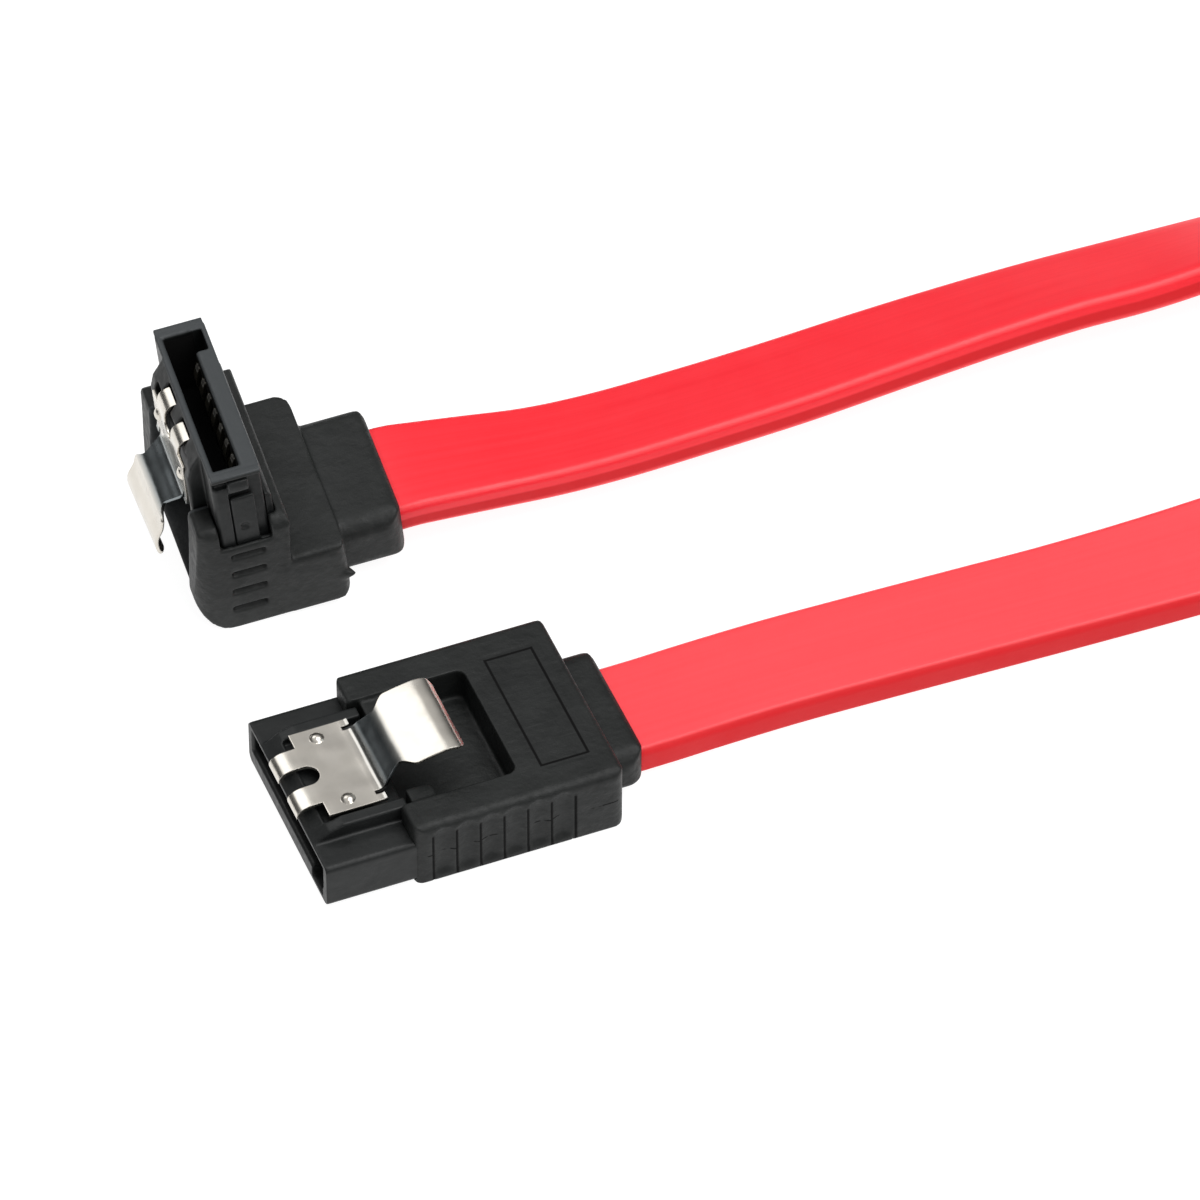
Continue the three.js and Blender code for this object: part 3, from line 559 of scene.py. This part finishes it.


# Contacts: a painted glint at the bent tips, where they would catch the light, and painted shade,
# near black, further in.
def goldMaterial(name, plug):
    material, tree, shader = nodeMaterial(name)
    x, y, z = plugCoordinates(tree, plug)
    number = mathNode(tree, "DIVIDE", mathNode(tree, "SUBTRACT", y, contacts["offset"]), contacts["pitch"])
    share = mathNode(tree, "FRACT", mathNode(tree, "ADD", number, 0.5))
    deep = nearMask(tree, x, contacts["paintedGlint"], 0.12, 0.08)
    # painted glint: a small neutral bright spot on each contact's tip
    paintedGlint = product(tree, deep, nearMask(tree, share, 0.5, 0.12, 0.06))
    tone = noiseNode(tree, placeNode(tree), 3, 3)
    # painted shade: the contacts are near black away from the glint
    paintedShade = rampNode(tree, tone, [(0.3, (0.012, 0.011, 0.008)), (0.7, (0.02, 0.018, 0.012))])
    setInputs(tree, shader, {
        "Base Color": mixNode(tree, paintedGlint, paintedShade, (0.85, 0.83, 0.76, 1)),
        "Metallic": paintedGlint,
        "Roughness": spanNode(tree, tone, 0.3, 0.7, 0.3, 0.42),
    })
    return material


# Red jacket, drawn along its length. The flat faces carry a painted sheen towards the straight plug,
# and both narrow edges are painted deeper red as shade.
def jacketMaterial(name):
    material, tree, shader = nodeMaterial(name)
    uv = addNode(tree, "ShaderNodeTexCoord").outputs["UV"]
    mapping = addNode(tree, "ShaderNodeMapping", {"Vector": uv, "Scale": (0.035, 2.6, 1)})
    streak = noiseNode(tree, mapping.outputs["Vector"], 1.0, 4)
    red = rampNode(tree, streak, [(0.25, (0.94, 0.02, 0.034)), (0.75, (1.0, 0.034, 0.05))])
    parts = addNode(tree, "ShaderNodeSeparateXYZ", {"Vector": uv})
    along, girth = parts.outputs["X"], parts.outputs["Y"]
    face = largest(tree, *(nearMask(tree, girth, *span) for span in jacket["faces"]))
    # painted sheen on the flat faces, fading out away from the straight plug
    paintedSheenFade = mathNode(tree, "MULTIPLY", face, spanNode(tree, along, *jacket["paintedSheenFade"], 0.05, 0.0))
    paintedReflection = mixNode(tree, paintedSheenFade, red, (1, 0.85, 0.85, 1))
    place = placeNode(tree)
    rough = spanNode(tree, noiseNode(tree, place, 0.5, 3), 0.3, 0.7, 0.28, 0.38)
    edged = mathNode(tree, "MULTIPLY", mathNode(tree, "SUBTRACT", 1, face), 0.3)
    height = mathNode(tree, "ADD", streak, noiseNode(tree, place, 6, 2))
    # the narrow edges take a deep red as painted shade
    setInputs(tree, shader, {
        "Base Color": mixNode(tree, face, (0.7, 0.004, 0.01, 1), paintedReflection),
        "Roughness": mathNode(tree, "ADD", rough, edged),
        "Normal": bumpNode(tree, height, 0.18, 0.03 * mm),
        "Subsurface Weight": 0.12,
        "Subsurface Radius": (1, 0.25, 0.2),
        "Subsurface Scale": 0.0008,
        "Specular IOR Level": 0.4,
    })
    return material


hoodTones = {
    "dark": (0.007, 0.008, 0.0078),
    "light": (0.015, 0.0165, 0.016),
    "wear": (0.035, 0.038, 0.037),
    "roughness": 0.5,
    "grain": 0.95,
}
# the same plastic as the straight hood, in a lighter copy of its tones: painted light, as the angled hood
# catches more light
angledHoodTones = {**hoodTones, "dark": (0.01, 0.0112, 0.0108), "light": (0.019, 0.0205, 0.02)}
socketTones = {
    "dark": (0.008, 0.009, 0.009),
    "light": (0.016, 0.0175, 0.0175),
    "wear": (0.04, 0.042, 0.042),
    "roughness": 0.42,
    "grain": 0.4,
}
straightHoodPlastic = plasticMaterial("straight_hood_plastic", hoodTones, straightPaintedShade)
angledHoodPlastic = plasticMaterial("angled_hood_plastic", angledHoodTones, angledPaintedShade, tabHollow)
straightSocketPlastic = plasticMaterial("straight_socket_plastic", socketTones, mouthShade(straightPlug))
angledSocketPlastic = plasticMaterial(
    "angled_socket_plastic", socketTones, mouthShade(angledPlug), matingFace
)
straightSteel = steelMaterial("straight_latch_steel", straightPlug, 5.45)
angledSteel = steelMaterial("angled_latch_steel", angledPlug, 4.85)
straightGold = goldMaterial("straight_contact_gold", straightPlug)
angledGold = goldMaterial("angled_contact_gold", angledPlug)
jacketRed = jacketMaterial("jacket_red")
print("materials made")

lead, leadPath = makeLead(jacketRed)
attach(lead, "cable")
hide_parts("cable_jacket")
print("lead made")

# Latches: one bent strip of spring steel each, drawn as a grid with rows along the strip and
# columns across it. The middle line (x, height above the socket's latch side) runs from the
# prong tips over the plate and up the neck to the tab's curled end.

latchSheet = {
    "thickness": 0.2,
    "prongHalfGap": 0.72,
    "prongEdge": 2.22,
    "valleyHalf": 2.5,
    "slitEdge": 2.8,
    "plateHalf": 3.3,
    "neckHalf": 2.1,
    "tabHalf": 2.85,
    "tabCorner": 0.55,
    "barbX": 2.77,
    "barbY": 2.5,
    "barbRadius": 0.36,
    "barbHeight": 0.22,
    "step": 0.06,
    "spanSteps": 40,
    "edge": 0.025,
}
straightLatch = {
    "line": (
        (-0.12, 0.3), (-0.12, 0.52), (0.1, 0.78), (0.5, 0.93), (1.2, 0.99), (2.6, 1.0),
        (4.35, 1.02), (4.85, 1.08), (5.3, 1.6), (5.85, 2.2), (6.3, 2.52), (6.9, 2.72),
        (8.0, 2.98), (8.8, 3.1), (9.35, 3.02), (9.7, 2.75),
    ),
    "shoulder": 1.35, "gapEnd": 1.25, "slitStart": 4.35, "valley": 4.88, "neck": 6.1, "tab": 6.8,
    "twist": 0.0,
}
angledLatch = {
    "line": (
        (0.62, 0.12), (0.7, 0.5), (0.95, 0.78), (1.5, 0.9), (2.6, 0.93), (4.1, 0.95),
        (4.5, 1.05), (4.85, 1.6), (5.25, 2.25), (5.6, 2.5), (6.5, 2.75), (7.25, 3.15),
        (8.0, 3.2), (8.4, 3.05), (8.5, 2.8),
    ),
    "shoulder": 1.5, "gapEnd": 1.4, "slitStart": 4.0, "valley": 4.5, "neck": 5.25, "tab": 5.85,
    "twist": 0.045,
}


# half the strip's width past the valley: the neck narrows, the tab widens and ends in round corners
def stripHalf(at, valley, neck, tab, end):
    d = latchSheet
    ease = lambda share: np.clip(share, 0, 1) ** 2 * (3 - 2 * np.clip(share, 0, 1))
    half = d["valleyHalf"] + (d["neckHalf"] - d["valleyHalf"]) * ease((at - valley) / (neck - valley))
    half += (d["tabHalf"] - d["neckHalf"]) * ease((at - neck + 0.15) / (tab - neck + 0.3))
    past = np.clip((at - (end - d["tabCorner"])) / d["tabCorner"], 0, 1)
    return half - d["tabCorner"] * (1 - np.sqrt(1 - past**2))


def makeLatch(name, latch, plug, material):
    d = latchSheet
    rows = [(x, z, 0.0) for x, z in latch["line"]]
    line = smoothLine(rows, d["spanSteps"])[:, :2]
    along = np.concatenate([[0], np.cumsum(np.linalg.norm(np.diff(line, axis=0), axis=1))])
    # distance along the strip at each place where the plan changes
    climb = np.maximum.accumulate(line[:, 0] + np.arange(len(line)) * 1e-9)
    places = ("shoulder", "gapEnd", "slitStart", "valley", "neck", "tab")
    keys = {place: float(np.interp(latch[place], climb, along)) for place in places}
    marks = [0, keys["shoulder"], keys["slitStart"], keys["valley"], keys["neck"], keys["tab"], along[-1]]
    s = np.unique(np.concatenate([
        np.linspace(a, b, max(2, int((b - a) / d["step"]) + 1)) for a, b in zip(marks, marks[1:])
    ]))
    edges = [0, d["prongHalfGap"], d["prongEdge"], d["valleyHalf"], d["slitEdge"], d["plateHalf"]]
    side = np.unique(np.concatenate([
        np.linspace(a, b, max(2, int((b - a) / d["step"]) + 2)) for a, b in zip(edges, edges[1:])
    ]))
    across = np.concatenate([-side[:0:-1], side])
    alongGrid, acrossGrid = np.meshgrid(s, across, indexing="ij")
    full = stripHalf(alongGrid, keys["valley"], keys["neck"], keys["tab"], along[-1]) / d["valleyHalf"]
    acrossGrid = np.where(alongGrid > keys["valley"], acrossGrid * full, acrossGrid)
    # which cells of the grid are metal
    cs = (s[:-1] + s[1:])[:, None] / 2
    cy = np.abs(across[:-1] + across[1:])[None, :] / 2
    metal = np.ones((len(s) - 1, len(across) - 1), bool)
    metal &= ~((cs < keys["shoulder"]) & (cy > d["prongEdge"]))
    metal &= ~((cs > keys["slitStart"]) & (cy > d["valleyHalf"]) & (cy < d["slitEdge"]))
    metal &= ~((cs > keys["valley"]) & (cy > d["valleyHalf"]))
    gap = d["prongHalfGap"]
    metal &= ~((cy < gap) & (cs < keys["gapEnd"]))
    metal &= ~((cs >= keys["gapEnd"]) & (np.hypot(cs - keys["gapEnd"], cy) < gap))
    # the rounded end of the gap: its rim's corners are drawn onto the circle
    touch = np.zeros((2,) + alongGrid.shape, bool)
    for k, cells in enumerate((metal, ~metal)):
        for i in (0, 1):
            for j in (0, 1):
                touch[k, i : i + cells.shape[0], j : j + cells.shape[1]] |= cells
    reach = np.maximum(np.hypot(alongGrid - keys["gapEnd"], acrossGrid), 1e-6)
    past = alongGrid > keys["gapEnd"] + 0.01
    rim = touch.all(0) & past & (reach < gap * 1.35) & (np.abs(acrossGrid) < gap * 1.1)
    alongGrid = np.where(rim, keys["gapEnd"] + (alongGrid - keys["gapEnd"]) * gap / reach, alongGrid)
    acrossGrid = np.where(rim, acrossGrid * gap / reach, acrossGrid)
    x = np.interp(alongGrid, along, line[:, 0])
    z = np.interp(alongGrid, along, line[:, 1])
    # barbs: small half domes pressed out of the plate
    for end in (-1, 1):
        r = np.hypot(x - d["barbX"], acrossGrid - end * d["barbY"]) / d["barbRadius"]
        dome = d["barbHeight"] * np.clip(1 - r**2, 0, 1) ** 0.7
        z = z + np.where(alongGrid < keys["slitStart"], dome, 0)
    # the tab is a little twisted
    rise = np.clip((alongGrid - keys["neck"]) / (along[-1] - keys["neck"]), 0, 1)
    z = z - latch["twist"] * acrossGrid * rise
    points = np.stack([x, acrossGrid, z + socketThickness, np.ones_like(x)], -1) @ np.array(plug).T
    n = len(across)
    i, j = np.nonzero(metal)
    corner = i * n + j
    faces = np.stack([corner, corner + n, corner + n + 1, corner + 1], 1)
    used, faces = np.unique(faces, return_inverse=True)
    piece = meshObject(name, points.reshape(-1, 4)[used, :3] * mm, faces.reshape(-1, 4), material)
    wall = piece.modifiers.new("sheet", "SOLIDIFY")
    wall.thickness = d["thickness"] * mm
    wall.offset = 0
    wall.use_even_offset = True
    edge = piece.modifiers.new("edge", "BEVEL")
    edge.width = d["edge"] * mm
    edge.segments = 2
    edge.limit_method = "ANGLE"
    edge.angle_limit = math.radians(50)
    return piece


latches = {
    "straight": (straightLatch, straightPlug, straightSteel),
    "angled": (angledLatch, angledPlug, angledSteel),
}
for plug, settings in latches.items():
    piece = makeLatch(f"{plug}_latch_sheet", *settings)
    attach(piece, f"{plug}_latch")
    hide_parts(f"{plug}_latch")
print("latches made")

# Moulded pieces: the solid's own shape with every edge softened as moulding leaves it. Each is
# worked on in its plug's own frame, in millimetres.

# The straight hood's panel is level with the top, and its front corners are round. The boot's
# lower outer corners are rounder still, and the finger scoops run out above the underside.
# x, y and z are views, so they follow each change to the points.
def finishHood(points):
    d = hoodDetails
    half = d["half"]
    x, y, z = points.T
    fromPanel = np.abs(x - d["panelAt"])
    long, wide = d["panelHollow"]
    sunk = (fromPanel < long) & (np.abs(y) < wide) & (z > d["hollowAbove"])
    edge, fade = d["panelEdge"]
    level = d["panelTop"] - d["panelStep"] * np.clip((edge - fromPanel) / fade, 0, 1)
    points[:, 2] = np.where(sunk, level, z)
    radius = d["frontRadius"]
    front = np.minimum(x - (d["front"] + radius), 0)
    wide = np.maximum(np.abs(y) - (half - radius), 0)
    over = np.stack([front, wide], 1)
    reach = np.linalg.norm(over, axis=1)
    corner = (front < 0) & (wide > 0) & (reach > radius)
    over *= np.where(corner, radius / np.maximum(reach, 1e-6), 1)[:, None] - 1
    points[:, 0] += over[:, 0]
    points[:, 1] += np.sign(y) * over[:, 1]
    bootX, bootY, bootZ = d["boot"]
    radius = d["bootRadius"]
    over = np.stack([
        np.maximum(x - bootX, 0), np.maximum(np.abs(y) - bootY, 0), np.minimum(z - bootZ, 0)
    ], 1)
    reach = np.linalg.norm(over, axis=1)
    corner = (x > d["bootStart"]) & (reach > radius) & (np.abs(y) > bootY) & (z < bootZ)
    pull = np.where(corner, radius / np.maximum(reach, 1e-6), 1)[:, None] - 1
    points += over * pull * np.stack([np.ones_like(x), np.sign(y), np.ones_like(x)], 1)
    first, last = d["scoops"]
    low, high = d["scoopBottom"]
    scooped = (np.abs(y) > half - d["scoopDepth"]) & (x > first) & (x < last) & (z > low) & (z < high)
    edge, fade = d["scoopFade"]
    share = np.clip((edge - z) / fade, 0, 1)
    points[:, 1] = np.where(scooped, y + (np.sign(y) * half - y) * share, y)
    return points


# a scrap of flash on the angled hood's lower back corner: a bump that falls off as exp(-r^2)
flash = {"at": (7.0, -6.5, 1.75), "reach": (0.4, 0.4, 0.26), "push": 0.6, "towards": (0.9, -0.35, 0.1)}


def addFlash(points):
    away = np.linalg.norm((points - flash["at"]) / flash["reach"], axis=1)
    push = flash["push"] * np.exp(-(away**2))[:, None]
    return points + push * np.array(flash["towards"])


def moulded(name, node, place, voxel, rounds, material, shape=None):
    mesh = nodes[node].data.copy()
    mesh.name = name
    mesh.transform(place.inverted() @ Matrix.Scale(1000, 4))
    piece = bpy.data.objects.new(name, mesh)
    bpy.context.scene.collection.objects.link(piece)
    remesh = piece.modifiers.new("remesh", "REMESH")
    remesh.mode = "VOXEL"
    remesh.voxel_size = voxel
    soften = piece.modifiers.new("soften", "SMOOTH")
    soften.factor = 0.5
    soften.iterations = rounds
    view = bpy.context.evaluated_depsgraph_get()
    finished = bpy.data.meshes.new_from_object(piece.evaluated_get(view))
    piece.modifiers.clear()
    piece.data = finished
    if shape:
        points = np.empty(len(finished.vertices) * 3)
        finished.vertices.foreach_get("co", points)
        finished.vertices.foreach_set("co", shape(points.reshape(-1, 3)).ravel())
    finished.transform(Matrix.Scale(mm, 4) @ place)
    finished.materials.clear()
    finished.materials.append(material)
    finished.polygons.foreach_set("use_smooth", [True] * len(finished.polygons))
    bpy.data.meshes.remove(mesh)
    finished.name = name
    print(name, len(finished.polygons), "faces")
    return piece


# node, frame, voxel size, rounds of smoothing, material and what else is done to the shape
moulds = {
    "straight_hood_moulding": ("straight_hood", straightFrame, 0.1, 4, straightHoodPlastic, finishHood),
    "angled_hood_moulding": ("angled_hood", angledFrame, 0.1, 4, angledHoodPlastic, addFlash),
    "straight_socket_moulding": (
        "straight_contact_housing", straightFrame, 0.08, 3, straightSocketPlastic
    ),
    "angled_socket_moulding": ("angled_contact_housing", angledFrame, 0.08, 3, angledSocketPlastic),
    "angled_cover_moulding": ("angled_rear_cover", angledFrame, 0.07, 4, angledSocketPlastic),
}
for name, (node, *settings) in moulds.items():
    piece = moulded(name, node, *settings)
    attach(piece, "cable")
    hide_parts(node)


# Small square features on the angled socket's narrow sides: the rim and the snap block.
def makeBlock(name, place, low, high, radius, material):
    corners = [[(low, high)[k][i] for i, k in enumerate(key)] for key in np.ndindex(2, 2, 2)]
    faces = [(0, 1, 3, 2), (4, 6, 7, 5), (0, 4, 5, 1), (2, 3, 7, 6), (0, 2, 6, 4), (1, 5, 7, 3)]
    piece = meshObject(name, [tuple((place @ Vector(c)) * mm) for c in corners], faces, material)
    edge = piece.modifiers.new("edge", "BEVEL")
    edge.width = radius * mm
    edge.segments = 3
    return piece


# lowest and highest corner, and the edges' radius
socketBlocks = {
    "rim": ((0.0, 5.9, 0.05), (0.34, 6.46, 2.95), 0.08),
    "snap": ((0.5, 5.9, 0.85), (1.3, 6.52, 2.05), 0.1),
}
for side, sign in (("near", 1), ("far", -1)):
    for part, (low, high, radius) in socketBlocks.items():
        low, high = (low[0], sign * low[1], low[2]), (high[0], sign * high[1], high[2])
        name = f"angled_socket_{part}_{side}"
        piece = makeBlock(name, angledPlug, low, high, radius, angledSocketPlastic)
        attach(piece, "cable")
print("mouldings made")

# CAD nodes that stay, with their own materials

def dress(node, material):
    mesh = nodes[node].data
    mesh.materials.clear()
    mesh.materials.append(material)


for plug, plastic, gold in (
    ("straight", straightSocketPlastic, straightGold),
    ("angled", angledSocketPlastic, angledGold),
):
    dress(f"{plug}_wire_holder", plastic)
    for number in range(1, 8):
        dress(f"{plug}_contact_{number}", gold)

# Floor and lights

studio = {
    "floorHalf": 3.0,
    "floorGlow": 0.92,
    "lights": {
        "softbox": {
            "direction": (-0.26, 0.62, 0.74), "distance": 0.6, "size": (0.34, 0.34), "power": 0.49
        },
        "overhead": {
            "direction": (0.3, -0.15, 0.94), "distance": 0.7, "size": (0.5, 0.5), "power": 2.9
        },
        "fill": {
            "direction": (0.35, -0.7, 0.62), "distance": 0.9, "size": (0.7, 0.5), "power": 1.6
        },
    },
    # where the lights point
    "aim": (0.012, 0, 0),
    # brightness of the room by height of view: sine of the angle above the horizon
    "room": ((0.0, 0.05), (0.35, 0.09), (0.6, 0.35), (0.73, 0.62), (1.0, 0.62)),
}


def makeFloor():
    material, tree, shader = nodeMaterial("floor_paper")
    patch = noiseNode(tree, scaledObject(tree, (40, 40, 40)), 1.0, 2)
    setInputs(tree, shader, {
        "Base Color": rampNode(tree, patch, [(0.3, (0.24, 0.24, 0.24)), (0.7, (0.26, 0.26, 0.26))]),
        "Roughness": 0.9,
        "Specular IOR Level": 0.1,
        "Emission Color": (1, 1, 1, 1),
        "Emission Strength": studio["floorGlow"],
    })
    half = studio["floorHalf"]
    corners = [(-half, -half, 0), (half, -half, 0), (half, half, 0), (-half, half, 0)]
    floor = meshObject("floor", corners, [(0, 1, 2, 3)], material, False)
    floor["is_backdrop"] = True


def areaLight(name, direction, distance, size, power):
    data = bpy.data.lights.new(name, "AREA")
    data.shape = "RECTANGLE"
    data.size, data.size_y = size
    data.energy = power
    light = bpy.data.objects.new(name, data)
    bpy.context.scene.collection.objects.link(light)
    aim = Vector(direction).normalized()
    light.location = Vector(studio["aim"]) + aim * distance
    light.rotation_euler = aim.to_track_quat("Z", "Y").to_euler()


def makeRoom():
    world = bpy.data.worlds.new("studio")
    bpy.context.scene.world = world
    world.use_nodes = True
    tree = world.node_tree
    view = addNode(tree, "ShaderNodeTexCoord").outputs["Generated"]
    parts = addNode(tree, "ShaderNodeSeparateXYZ", {"Vector": view})
    stops = [(place, (level, level, level)) for place, level in studio["room"]]
    colour = rampNode(tree, parts.outputs["Z"], stops)
    setInputs(tree, tree.nodes["Background"], {"Color": colour, "Strength": 1.0})


makeFloor()
for name, settings in studio["lights"].items():
    areaLight(name, **settings)
makeRoom()
bpy.context.scene.view_settings.view_transform = "Standard"
print("floor and lights made")

low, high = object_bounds()
